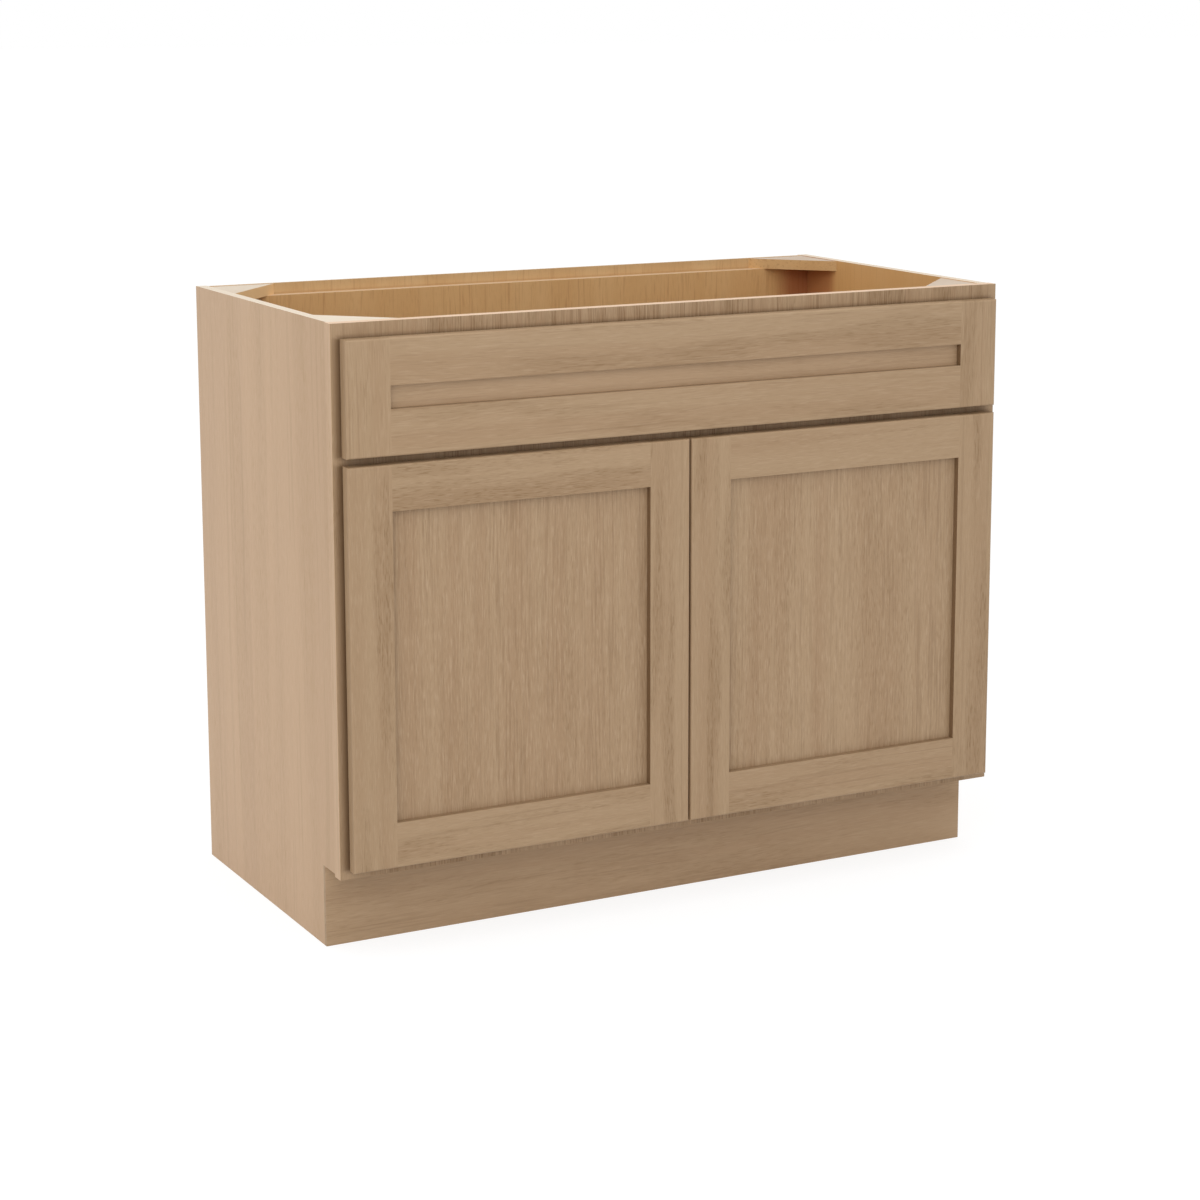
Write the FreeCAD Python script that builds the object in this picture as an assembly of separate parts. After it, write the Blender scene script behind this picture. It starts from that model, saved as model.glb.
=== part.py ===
import FreeCAD, Part
import os

# Vanity cabinet without a top: plywood box, hardwood face frame, one fixed drawer front
# and two framed doors on concealed hinges.
# Millimetres. X runs along the width, Y from the front to the back, Z up.
# The origin lies on the floor, in the middle of the width and of the whole depth.

# Whole cabinet
width = 1066.8
height = 876.3
carcass_depth = 533.4

# Box
side_thickness = 15.9
floor_thickness = 12.7
floor_housing_depth = 6.0
back_thickness = 6.0
back_inset = 6.4
back_groove_depth = 8.0
hanging_rail_thickness = 19.0
hanging_rail_height = 88.9
lower_rail_thickness = 19.0
lower_rail_height = 63.5

# Toe space
toe_height = 114.3
toe_recess = 63.5
toe_skin_thickness = 6.0
toe_board_thickness = 15.9

# Corner blocks
block_thickness = 15.9
block_drop = 0.8
front_block_leg = 96.4
rear_block_width = 101.6
rear_block_depth = 108.0

# Face frame
frame_thickness = 19.0
frame_overhang = 3.2
frame_drop = 1.6
frame_edge_radius = 1.0
frame_stile_width = 38.1
top_rail_height = 38.1
middle_rail_height = 38.1
bottom_rail_height = 38.1
tenon_length = 12.7
tenon_thickness = 9.5
tenon_shoulder = 5.0
mortise_play = 0.1

# Doors and drawer front
front_thickness = 19.0
member_width = 63.5
panel_recess = 9.5
panel_thickness = 6.0
groove_depth = 9.5
panel_play = 1.0
tongue_play = 0.5
front_edge_radius = 3.0
hinge_edge_radius = 2.5
leaf_gap = 2.4
side_reveal = 12.7
bottom_reveal = 12.7
middle_gap = 3.2
front_gap = 11.1
drawer_front_height = 158.8
top_reveal = 20.6

# Hinges, measured from the edge and from the back face of the closed door
pivot_inset = 7.5
pivot_depth = 8.0
pin_radius = 1.25
pin_clearance = 0.05
barrel_radius = 2.2
barrel_half_length = 5.0
lug_side_clearance = 0.2
lug_thickness = 1.8
lug_rim = 0.5
cup_radius = 17.5
cup_wall = 1.0
cup_edge_distance = 3.0
flange_thickness = 1.2
flange_half_length = 27.5
flange_inner_inset = 14.0
flange_outer_inset = 34.5
flange_corner_radius = 5.0
cup_screw_offset = 9.5
cup_screw_half_spacing = 22.5
arm_thickness = 1.6
arm_drop = 3.2
arm_floor_clearance = 0.4
arm_web_reach = 1.0
plate_thickness = 1.6
plate_edge_margin = 2.0
plate_half_length = 22.0
plate_corner_radius = 2.0
plate_screw_half_spacing = 15.0
hinge_end_distance = 88.9

# Screws
screw_radius = 1.8
screw_head_radius = 3.3
screw_head_height = 1.4
screw_head_round = 0.5
screw_point_length = 3.0
recess_width = 0.9
recess_span = 3.8
recess_depth = 0.9
plate_screw_length = 16.0
cup_screw_length = 11.0
bracket_screw_length = 14.0

# Bumpers
bumper_radius = 4.75
bumper_top_radius = 3.6
bumper_play = 0.1
door_bumper_inset = 28.0

# Brackets of the drawer front
bracket_thickness = 2.0
bracket_width = 20.0
bracket_leg = 24.0
bracket_back_margin = 2.0
bracket_spacing = 600.0

# Cutting shapes run past the faces that they open by this much
overrun = 2.0
# Two places closer than this are the same place
tolerance = 0.001

X_AXIS = FreeCAD.Vector(1, 0, 0)
Y_AXIS = FreeCAD.Vector(0, 1, 0)
Z_AXIS = FreeCAD.Vector(0, 0, 1)

# Places along Y
leaf_front_y = -(carcass_depth + leaf_gap + front_thickness) / 2
leaf_back_y = leaf_front_y + front_thickness
frame_front_y = leaf_back_y + leaf_gap
frame_back_y = frame_front_y + frame_thickness
frame_middle_y = (frame_front_y + frame_back_y) / 2
rear_y = frame_front_y + carcass_depth
back_outer_y = rear_y - back_inset
back_inner_y = back_outer_y - back_thickness
toe_front_y = frame_front_y + toe_recess
toe_skin_back_y = toe_front_y + toe_skin_thickness

# Places along X, on the right-hand half
frame_edge_x = width / 2
side_outer_x = frame_edge_x - frame_overhang
side_inner_x = side_outer_x - side_thickness
frame_opening_x = frame_edge_x - frame_stile_width
leaf_edge_x = frame_edge_x - side_reveal

# Places along Z
notch_z = toe_height + frame_drop
bottom_rail_top_z = toe_height + bottom_rail_height
floor_top_z = bottom_rail_top_z
floor_bottom_z = floor_top_z - floor_thickness
lower_rail_bottom_z = floor_bottom_z - lower_rail_height
drawer_top_z = height - top_reveal
drawer_bottom_z = drawer_top_z - drawer_front_height
door_top_z = drawer_bottom_z - front_gap
door_bottom_z = toe_height + bottom_reveal
middle_rail_bottom_z = (door_top_z + drawer_bottom_z - middle_rail_height) / 2
middle_rail_top_z = middle_rail_bottom_z + middle_rail_height
top_rail_bottom_z = height - top_rail_height
block_top_z = height - block_drop
block_bottom_z = block_top_z - block_thickness
hinge_places_z = (door_bottom_z + hinge_end_distance, door_top_z - hinge_end_distance)


def block_between(x_range, y_range, z_range):
    """A rectangular solid between two places along each axis."""
    sizes = [max(pair) - min(pair) for pair in (x_range, y_range, z_range)]
    corner = FreeCAD.Vector(min(x_range), min(y_range), min(z_range))
    return Part.makeBox(sizes[0], sizes[1], sizes[2], corner)


def edges_in(shape, *planes):
    """The edges whose ends lie in all the planes, each given as an axis letter and a place."""
    found = []
    for edge in shape.Edges:
        ends = [vertex.Point for vertex in edge.Vertexes]
        if all(abs(getattr(end, axis) - place) < tolerance for end in ends for axis, place in planes):
            found.append(edge)
    return found


def rounded(shape, radius, *plane_pairs):
    """The shape with the straight edges where each pair of planes meets rounded."""
    edges = []
    for pair in plane_pairs:
        edges += edges_in(shape, *pair)
    return shape.makeFillet(radius, edges)


def prism(points, direction):
    """A solid that sweeps a flat outline along a direction."""
    outline = Part.makePolygon(points + points[:1])
    return Part.Face(outline).extrude(direction)


def mirrored(shape):
    """The same shape on the other side of the cabinet."""
    return shape.mirror(FreeCAD.Vector(0, 0, 0), X_AXIS)


def pointing(shape, direction, place):
    """A shape made along +Z at the origin, turned to a direction and moved to a place."""
    turned = shape.copy()
    turned.Placement = FreeCAD.Placement(place, FreeCAD.Rotation(Z_AXIS, direction))
    return turned


def save(name, shape):
    """Writes one node."""
    shape.exportStep(os.path.join("parts", name + ".step"))


def screw(length, outward, place):
    """A pan-head screw whose head rests at a place and whose point runs the other way."""
    head = Part.makeCylinder(screw_head_radius, screw_head_height)
    head = head.makeFillet(screw_head_round, edges_in(head, ("z", screw_head_height)))
    straight_length = length - screw_point_length
    shank = Part.makeCylinder(screw_radius, straight_length, FreeCAD.Vector(0, 0, -straight_length))
    point = Part.makeCone(0, screw_radius, screw_point_length, FreeCAD.Vector(0, 0, -length))
    body = head.fuse([shank, point])
    recess_levels = (screw_head_height - recess_depth, screw_head_height + overrun)
    half_width = recess_width / 2
    half_span = recess_span / 2
    for x_half, y_half in ((half_width, half_span), (half_span, half_width)):
        body = body.cut(block_between((-x_half, x_half), (-y_half, y_half), recess_levels))
    return pointing(body, outward, place)


def screw_hole(length, outward, place):
    """The bore that a screw of this length fills."""
    bore = Part.makeCylinder(screw_radius, length + overrun, FreeCAD.Vector(0, 0, -length))
    return pointing(bore, outward, place)


def bumper(thickness, outward, place):
    """A soft round pad with a tapered edge, lying on a face."""
    return pointing(Part.makeCone(bumper_radius, bumper_top_radius, thickness), outward, place)


def side_panel():
    """The right side: a board with the toe notch, the back's groove and the floor's housing."""
    outline = [
        FreeCAD.Vector(side_inner_x, frame_back_y, height),
        FreeCAD.Vector(side_inner_x, frame_back_y, notch_z),
        FreeCAD.Vector(side_inner_x, toe_skin_back_y, notch_z),
        FreeCAD.Vector(side_inner_x, toe_skin_back_y, 0),
        FreeCAD.Vector(side_inner_x, rear_y, 0),
        FreeCAD.Vector(side_inner_x, rear_y, height),
    ]
    board = prism(outline, X_AXIS * side_thickness)
    groove = block_between(
        (side_inner_x - overrun, side_inner_x + back_groove_depth),
        (back_inner_y, back_outer_y),
        (lower_rail_bottom_z, height + overrun),
    )
    housing = block_between(
        (side_inner_x - overrun, side_inner_x + floor_housing_depth),
        (frame_back_y - overrun, back_inner_y),
        (floor_bottom_z, floor_top_z),
    )
    return board.cut([groove, housing])


def back_panel():
    """The thin back, held in the grooves of the sides."""
    half_width = side_inner_x + back_groove_depth
    return block_between((-half_width, half_width), (back_inner_y, back_outer_y), (lower_rail_bottom_z, height))


def cabinet_floor():
    """The floor, held in the housings of the sides."""
    half_width = side_inner_x + floor_housing_depth
    return block_between((-half_width, half_width), (frame_back_y, back_inner_y), (floor_bottom_z, floor_top_z))


def hanging_rail():
    """The upper rail inside the back, through which the cabinet is fixed to the wall."""
    levels = (block_bottom_z - hanging_rail_height, block_bottom_z)
    depths = (back_inner_y - hanging_rail_thickness, back_inner_y)
    return block_between((-side_inner_x, side_inner_x), depths, levels)


def lower_back_rail():
    """The rail under the floor, inside the back."""
    depths = (back_inner_y - lower_rail_thickness, back_inner_y)
    return block_between((-side_inner_x, side_inner_x), depths, (lower_rail_bottom_z, floor_bottom_z))


def toe_board():
    """The board between the sides that closes the toe space."""
    depths = (toe_skin_back_y, toe_skin_back_y + toe_board_thickness)
    return block_between((-side_inner_x, side_inner_x), depths, (0, floor_bottom_z))


def toe_skin():
    """The finished strip that covers the toe board and the notched edges of the sides."""
    return block_between((-side_outer_x, side_outer_x), (toe_front_y, toe_skin_back_y), (0, notch_z))


def corner_block(width_leg, corner_y, depth_leg):
    """A right-hand corner block: a flat triangle with its square corner in the cabinet's corner."""
    outline = [
        FreeCAD.Vector(side_inner_x, corner_y, block_bottom_z),
        FreeCAD.Vector(side_inner_x - width_leg, corner_y, block_bottom_z),
        FreeCAD.Vector(side_inner_x, corner_y + depth_leg, block_bottom_z),
    ]
    return prism(outline, Z_AXIS * block_thickness)


def tenon(rail_bottom_z, rail_top_z, play):
    """The tenon on the right-hand end of a frame rail, or its mortise when play is given."""
    half_thickness = tenon_thickness / 2 + play
    return block_between(
        (frame_opening_x - overrun, frame_opening_x + tenon_length + play),
        (frame_middle_y - half_thickness, frame_middle_y + half_thickness),
        (rail_bottom_z + tenon_shoulder - play, rail_top_z - tenon_shoulder + play),
    )


def frame_rail(bottom_z, top_z):
    """A rail of the face frame with a tenon on each end."""
    bar = block_between((-frame_opening_x, frame_opening_x), (frame_front_y, frame_back_y), (bottom_z, top_z))
    end = tenon(bottom_z, top_z, 0)
    return bar.fuse([end, mirrored(end)]).removeSplitter()


def frame_stile():
    """The right stile of the face frame, mortised for the three rails and bored for the hinge screws."""
    bar = block_between((frame_opening_x, frame_edge_x), (frame_front_y, frame_back_y), (toe_height, height))
    bar = rounded(bar, frame_edge_radius, (("x", frame_edge_x), ("y", frame_front_y)))
    holes = [
        tenon(toe_height, bottom_rail_top_z, mortise_play),
        tenon(middle_rail_bottom_z, middle_rail_top_z, mortise_play),
        tenon(top_rail_bottom_z, height, mortise_play),
    ]
    for place_z in hinge_places_z:
        holes += [mirrored(hole) for hole in plate_screw_shapes(screw_hole, place_z)]
        holes.append(mirrored(arm_screw_shape(screw_hole, place_z)))
    return bar.cut(holes)


def member_depths():
    """The places along Y of the groove, tongue and panel in a door or drawer front."""
    return (leaf_front_y + panel_recess, leaf_front_y + panel_recess + panel_thickness)


def front_stile(outer_x, inner_x, levels):
    """A stile of a door or drawer front, grooved along its inner edge and rounded outside."""
    bar = block_between((outer_x, inner_x), (leaf_front_y, leaf_back_y), levels)
    front = ("y", leaf_front_y)
    pairs = [(front, ("x", outer_x)), (front, ("z", levels[0])), (front, ("z", levels[1]))]
    bar = rounded(bar, front_edge_radius, *pairs)
    inward = 1 if inner_x > outer_x else -1
    groove = block_between(
        (inner_x - inward * groove_depth, inner_x + inward * overrun),
        member_depths(),
        (levels[0] - overrun, levels[1] + overrun),
    )
    return bar.cut(groove)


def front_rail(x_range, outer_z, inner_z):
    """A rail of a door or drawer front, tongued at both ends and grooved for the panel."""
    bar = block_between(x_range, (leaf_front_y, leaf_back_y), (outer_z, inner_z))
    bar = rounded(bar, front_edge_radius, (("y", leaf_front_y), ("z", outer_z)))
    tongue_length = groove_depth - tongue_play
    tongue_range = (x_range[0] - tongue_length, x_range[1] + tongue_length)
    bar = bar.fuse(block_between(tongue_range, member_depths(), (outer_z, inner_z)))
    inward = 1 if inner_z > outer_z else -1
    groove = block_between(
        (tongue_range[0] - overrun, tongue_range[1] + overrun),
        member_depths(),
        (inner_z - inward * groove_depth, inner_z + inward * overrun),
    )
    return bar.cut(groove).removeSplitter()


def framed_front(x_range, z_range):
    """The five pieces of a flat-panel front: left and right stile, top and bottom rail, panel."""
    opening_x = (x_range[0] + member_width, x_range[1] - member_width)
    opening_z = (z_range[0] + member_width, z_range[1] - member_width)
    tuck = groove_depth - panel_play
    panel_x = (opening_x[0] - tuck, opening_x[1] + tuck)
    panel_z = (opening_z[0] - tuck, opening_z[1] + tuck)
    return {
        "left_stile": front_stile(x_range[0], opening_x[0], z_range),
        "right_stile": front_stile(x_range[1], opening_x[1], z_range),
        "top_rail": front_rail(opening_x, z_range[1], opening_z[1]),
        "bottom_rail": front_rail(opening_x, z_range[0], opening_z[0]),
        "panel": block_between(panel_x, member_depths(), panel_z),
    }


# The hinges are made for the left door, with the door's left edge and back face as their datum.
def hinge_x(inset):
    """The place along X at a distance from the left door's hinged edge."""
    return -leaf_edge_x + inset


def hinge_y(rise):
    """The place along Y at a distance behind the closed door's back face."""
    return leaf_back_y + rise


cup_centre_inset = cup_edge_distance + cup_radius
arm_underside_rise = -(pivot_depth + arm_drop + arm_thickness / 2)
cup_floor_rise = arm_underside_rise - arm_floor_clearance
cup_bottom_rise = cup_floor_rise - cup_wall
plate_back_inset = frame_stile_width - side_reveal
plate_face_inset = plate_back_inset + plate_thickness
arm_face_inset = plate_face_inset + arm_thickness
plate_bottom_rise = leaf_gap + plate_edge_margin
plate_top_rise = leaf_gap + frame_thickness - plate_edge_margin
plate_middle_rise = (plate_bottom_rise + plate_top_rise) / 2


def cup_cylinder(radius, low_rise, high_rise, place_z):
    """A cylinder about the cup's axis."""
    base = FreeCAD.Vector(hinge_x(cup_centre_inset), hinge_y(low_rise), place_z)
    return Part.makeCylinder(radius, high_rise - low_rise, base, Y_AXIS)


def hinge_pin(place_z):
    """The upright pin on which the door turns."""
    half_length = barrel_half_length + lug_side_clearance + lug_thickness
    base = FreeCAD.Vector(hinge_x(pivot_inset), hinge_y(-pivot_depth), place_z - half_length)
    return Part.makeCylinder(pin_radius, 2 * half_length, base)


def cup_screw_shapes(make, place_z):
    """The two screws of a cup, or their holes."""
    shapes = []
    for offset in (-cup_screw_half_spacing, cup_screw_half_spacing):
        inset = cup_centre_inset + cup_screw_offset
        place = FreeCAD.Vector(hinge_x(inset), hinge_y(flange_thickness), place_z + offset)
        shapes.append(make(cup_screw_length, Y_AXIS, place))
    return shapes


def plate_screw_shapes(make, place_z):
    """The two screws of a mounting plate, or their holes."""
    shapes = []
    for offset in (-plate_screw_half_spacing, plate_screw_half_spacing):
        place = FreeCAD.Vector(hinge_x(plate_face_inset), hinge_y(plate_middle_rise), place_z + offset)
        shapes.append(make(plate_screw_length, X_AXIS, place))
    return shapes


def arm_screw_shape(make, place_z):
    """The screw that fixes a hinge arm to its plate, or its hole."""
    place = FreeCAD.Vector(hinge_x(arm_face_inset), hinge_y(plate_middle_rise), place_z)
    return make(plate_screw_length, X_AXIS, place)


def hinge_cup(place_z):
    """The steel cup sunk in the door, with its flange and the two lugs that hold the pin."""
    flange = block_between(
        (hinge_x(flange_inner_inset), hinge_x(flange_outer_inset)),
        (hinge_y(0), hinge_y(flange_thickness)),
        (place_z - flange_half_length, place_z + flange_half_length),
    )
    corners = []
    for side_inset in (flange_inner_inset, flange_outer_inset):
        for end in (-flange_half_length, flange_half_length):
            corners.append((("x", hinge_x(side_inset)), ("z", place_z + end)))
    flange = rounded(flange, flange_corner_radius, *corners)
    shell = cup_cylinder(cup_radius, cup_bottom_rise, flange_thickness, place_z).fuse(flange)
    bowl = cup_cylinder(cup_radius - cup_wall, cup_floor_rise, flange_thickness + overrun, place_z)
    shell = shell.cut(bowl)
    lug_start = barrel_half_length + lug_side_clearance
    reach = barrel_radius + lug_rim
    for direction in (-1, 1):
        lug = block_between(
            (hinge_x(cup_edge_distance), hinge_x(pivot_inset + reach)),
            (hinge_y(cup_floor_rise), hinge_y(-pivot_depth + reach)),
            (place_z + direction * lug_start, place_z + direction * (lug_start + lug_thickness)),
        )
        outside = cup_cylinder(cup_radius - cup_wall / 2, cup_bottom_rise, flange_thickness, place_z)
        shell = shell.fuse(lug.common(outside))
    holes = cup_screw_shapes(screw_hole, place_z) + [hinge_pin(place_z)]
    return shell.cut(holes).removeSplitter()


def hinge_arm(place_z):
    """The cranked steel arm from the pin's barrel, out of the cup, to the mounting plate."""
    band = (place_z - barrel_half_length, place_z + barrel_half_length)
    arm_top_rise = arm_underside_rise + arm_thickness
    web_inset = pivot_inset - arm_web_reach
    barrel_base = FreeCAD.Vector(hinge_x(pivot_inset), hinge_y(-pivot_depth), band[0])
    barrel = Part.makeCylinder(barrel_radius, band[1] - band[0], barrel_base)
    web = block_between(
        (hinge_x(web_inset), hinge_x(pivot_inset + barrel_radius)),
        (hinge_y(arm_underside_rise), hinge_y(-pivot_depth)),
        band,
    )
    outline = [
        FreeCAD.Vector(hinge_x(web_inset), hinge_y(arm_underside_rise), band[0]),
        FreeCAD.Vector(hinge_x(arm_face_inset), hinge_y(arm_underside_rise), band[0]),
        FreeCAD.Vector(hinge_x(arm_face_inset), hinge_y(plate_top_rise), band[0]),
        FreeCAD.Vector(hinge_x(plate_face_inset), hinge_y(plate_top_rise), band[0]),
        FreeCAD.Vector(hinge_x(plate_face_inset), hinge_y(arm_top_rise), band[0]),
        FreeCAD.Vector(hinge_x(web_inset), hinge_y(arm_top_rise), band[0]),
    ]
    strip = prism(outline, Z_AXIS * (band[1] - band[0]))
    outer_corner = (("x", hinge_x(arm_face_inset)), ("y", hinge_y(arm_underside_rise)))
    strip = rounded(strip, arm_thickness, outer_corner)
    bore_radius = pin_radius + pin_clearance
    bore = Part.makeCylinder(bore_radius, band[1] - band[0] + 2 * overrun, barrel_base - Z_AXIS * overrun)
    arm = barrel.fuse([web, strip]).removeSplitter()
    return arm.cut([bore, arm_screw_shape(screw_hole, place_z)])


def hinge_plate(place_z):
    """The mounting plate on the inner edge of the frame stile."""
    plate = block_between(
        (hinge_x(plate_back_inset), hinge_x(plate_face_inset)),
        (hinge_y(plate_bottom_rise), hinge_y(plate_top_rise)),
        (place_z - plate_half_length, place_z + plate_half_length),
    )
    corners = []
    for rise in (plate_bottom_rise, plate_top_rise):
        for end in (-plate_half_length, plate_half_length):
            corners.append((("y", hinge_y(rise)), ("z", place_z + end)))
    plate = rounded(plate, plate_corner_radius, *corners)
    holes = plate_screw_shapes(screw_hole, place_z) + [arm_screw_shape(screw_hole, place_z)]
    return plate.cut(holes)


def cup_bores():
    """What the left door's hinge stile loses to its two cups and their screws."""
    bores = []
    for place_z in hinge_places_z:
        bores.append(cup_cylinder(cup_radius, cup_bottom_rise, overrun, place_z))
        bores += cup_screw_shapes(screw_hole, place_z)
    return bores


def left_door():
    """The five pieces of the left door."""
    pieces = framed_front((-leaf_edge_x, -middle_gap / 2), (door_bottom_z, door_top_z))
    hinge_edge = (("x", -leaf_edge_x), ("y", leaf_back_y))
    stile = rounded(pieces["left_stile"], hinge_edge_radius, hinge_edge)
    pieces["left_stile"] = stile.cut(cup_bores())
    return pieces


def door_bumpers():
    """The left door's two pads, which meet the middle rail and the bottom rail."""
    overlap = door_top_z - middle_rail_bottom_z
    pads = []
    for place_z in (door_bottom_z + overlap / 2, door_top_z - overlap / 2):
        place = FreeCAD.Vector(-middle_gap / 2 - door_bumper_inset, leaf_back_y, place_z)
        pads.append(bumper(leaf_gap - bumper_play, Y_AXIS, place))
    return Part.makeCompound(pads)


def drawer_front_bumpers():
    """The four pads that hold the drawer front off the face frame."""
    place_x = (leaf_edge_x + frame_opening_x) / 2
    levels = ((drawer_bottom_z + middle_rail_top_z) / 2, (drawer_top_z + top_rail_bottom_z) / 2)
    pads = []
    for level in levels:
        for sign in (-1, 1):
            pads.append(bumper(leaf_gap, Y_AXIS, FreeCAD.Vector(sign * place_x, leaf_back_y, level)))
    return Part.makeCompound(pads)


def bracket_screws(make):
    """The screws of the drawer front's brackets, or their holes: into the rails and into the front."""
    leg_middle = bracket_thickness + (bracket_leg - bracket_thickness) / 2
    shapes = []
    for place_x in (-bracket_spacing / 2, bracket_spacing / 2):
        for seat_z, up in ((middle_rail_top_z, 1), (top_rail_bottom_z, -1)):
            on_rail = FreeCAD.Vector(place_x, frame_middle_y, seat_z + up * bracket_thickness)
            on_front = FreeCAD.Vector(place_x, leaf_back_y + bracket_thickness, seat_z + up * leg_middle)
            shapes.append(make(bracket_screw_length, Z_AXIS * up, on_rail))
            shapes.append(make(bracket_screw_length, Y_AXIS, on_front))
    return shapes


def drawer_front_brackets():
    """Four steel angles in the drawer opening that hold the fixed drawer front."""
    angles = []
    for place_x in (-bracket_spacing / 2, bracket_spacing / 2):
        across = (place_x - bracket_width / 2, place_x + bracket_width / 2)
        for seat_z, up in ((middle_rail_top_z, 1), (top_rail_bottom_z, -1)):
            foot = block_between(
                across,
                (leaf_back_y, frame_back_y - bracket_back_margin),
                (seat_z, seat_z + up * bracket_thickness),
            )
            leg = block_between(
                across,
                (leaf_back_y, leaf_back_y + bracket_thickness),
                (seat_z, seat_z + up * bracket_leg),
            )
            angle = foot.fuse(leg).removeSplitter()
            angles.append(angle.cut(bracket_screws(screw_hole)))
    return Part.makeCompound(angles)


def save_box():
    """Writes the sides, the back, the floor, the rails, the toe boards and the corner blocks."""
    side = side_panel()
    save("side_panel_left", mirrored(side))
    save("side_panel_right", side)
    save("back_panel", back_panel())
    save("cabinet_floor", cabinet_floor())
    save("hanging_rail", hanging_rail())
    save("lower_back_rail", lower_back_rail())
    save("toe_kick_board", toe_board())
    save("toe_kick_skin", toe_skin())
    front = corner_block(front_block_leg, frame_back_y, front_block_leg)
    rear = corner_block(rear_block_width, back_inner_y, -rear_block_depth)
    for place, block in (("front", front), ("rear", rear)):
        save("corner_block_" + place + "_left", mirrored(block))
        save("corner_block_" + place + "_right", block)


def save_face_frame():
    """Writes the stiles and rails of the face frame."""
    stile = frame_stile()
    save("frame_stile_left", mirrored(stile))
    save("frame_stile_right", stile)
    holes = bracket_screws(screw_hole)
    save("frame_top_rail", frame_rail(top_rail_bottom_z, height).cut(holes))
    save("frame_middle_rail", frame_rail(middle_rail_bottom_z, middle_rail_top_z).cut(holes))
    save("frame_bottom_rail", frame_rail(toe_height, bottom_rail_top_z))


def save_drawer_front():
    """Writes the fixed drawer front and what holds it."""
    pieces = framed_front((-leaf_edge_x, leaf_edge_x), (drawer_bottom_z, drawer_top_z))
    holes = bracket_screws(screw_hole)
    for name, piece in pieces.items():
        if name.endswith("rail"):
            piece = piece.cut(holes)
        save("drawer_front_" + name, piece)
    save("drawer_front_brackets", drawer_front_brackets())
    save("drawer_front_screws", Part.makeCompound(bracket_screws(screw)))
    save("drawer_front_bumpers", drawer_front_bumpers())


def save_doors():
    """Writes both doors with their bumpers; the right door is the left one mirrored."""
    right_names = {"left_stile": "hinge_stile", "right_stile": "latch_stile"}
    for name, piece in left_door().items():
        plain_name = right_names.get(name, name)
        save("left_door_" + plain_name, piece)
        save("right_door_" + plain_name, mirrored(piece))
    pads = door_bumpers()
    save("left_door_bumpers", pads)
    save("right_door_bumpers", mirrored(pads))


def save_hinges():
    """Writes the four hinges, with their pins and screws in groups."""
    for level, place_z in zip(("lower", "upper"), hinge_places_z):
        for kind, make in (("cup", hinge_cup), ("arm", hinge_arm), ("plate", hinge_plate)):
            piece = make(place_z)
            save("left_hinge_" + kind + "_" + level, piece)
            save("right_hinge_" + kind + "_" + level, mirrored(piece))
    pins = [hinge_pin(place_z) for place_z in hinge_places_z]
    cup_screws = []
    frame_screws = []
    for place_z in hinge_places_z:
        cup_screws += cup_screw_shapes(screw, place_z)
        frame_screws += plate_screw_shapes(screw, place_z)
        frame_screws.append(arm_screw_shape(screw, place_z))
    for name, shapes in (("hinge_pins", pins), ("cup_screws", cup_screws), ("plate_screws", frame_screws)):
        group = Part.makeCompound(shapes)
        save("left_" + name, group)
        save("right_" + name, mirrored(group))


save_box()
save_face_frame()
save_drawer_front()
save_doors()
save_hinges()
print("Width, height and whole depth:", width, height, rear_y - leaf_front_y)
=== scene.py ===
# %% [markdown] # A vanity cabinet, dressed for the studio  The cabinet arrives as a finished model:
# every board, hinge and screw is already in its place, in metres, with Z up and the front facing -Y.
# This lesson gives it wood, steel and light. The first cell loads that model.

# %% Load the cabinet
import math
import typing

import bpy
import numpy as np
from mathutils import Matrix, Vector


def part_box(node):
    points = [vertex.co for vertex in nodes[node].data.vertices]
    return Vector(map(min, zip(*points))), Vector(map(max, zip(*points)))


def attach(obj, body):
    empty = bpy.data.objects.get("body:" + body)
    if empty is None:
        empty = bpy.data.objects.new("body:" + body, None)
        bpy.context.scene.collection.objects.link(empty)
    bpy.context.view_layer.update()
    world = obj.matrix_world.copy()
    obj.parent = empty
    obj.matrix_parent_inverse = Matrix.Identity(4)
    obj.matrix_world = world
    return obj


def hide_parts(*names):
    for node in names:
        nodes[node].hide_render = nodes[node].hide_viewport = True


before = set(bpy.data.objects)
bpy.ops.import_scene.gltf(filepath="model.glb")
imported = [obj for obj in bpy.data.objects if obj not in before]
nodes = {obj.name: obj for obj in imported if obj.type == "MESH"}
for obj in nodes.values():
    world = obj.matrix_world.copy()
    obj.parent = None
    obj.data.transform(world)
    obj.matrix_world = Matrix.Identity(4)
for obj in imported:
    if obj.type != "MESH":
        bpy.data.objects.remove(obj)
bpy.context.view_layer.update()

# %% [markdown]
# ## Colours
#
# Colours are easiest to choose as the 0 to 255 numbers that a picture editor shows. Blender's shaders
# want linear light instead. We could convert each colour by hand and write down the result, but a small
# function keeps the familiar numbers in the script, where they can be compared with the real cabinet.

# %% Colour numbers
def tone(red, green, blue):
    """A shader colour from 0-255 numbers, with the sRGB curve undone value by value.

    As a share of 255, a value up to 0.04045 is divided by 12.92. A larger one has 0.055 added to it, is
    divided by 1.055 and raised to the power of 2.4.
    """
    share = np.array([red, green, blue]) / 255
    linear = np.where(share <= 0.04045, share / 12.92, ((share + 0.055) / 1.055) ** 2.4)
    return (*linear.tolist(), 1.0)


print("a mid stain in linear light:", [round(v, 3) for v in tone(168, 141, 113)])

# %% [markdown]
# ## Shader maths as plain Python
#
# A wood finish needs many small sums, such as "noise times 3 minus 1". Wiring each one by hand is slow
# to write and hard to read. Instead, one class wraps a node's socket and gives it Python's operators,
# and each operator adds one Math node. A second class holds a node tree and adds every other kind of
# node with a single method, and a third one makes such a tree into a material. How that material shines
# is a small record of its own, so that each finish is one line of numbers.

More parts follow.
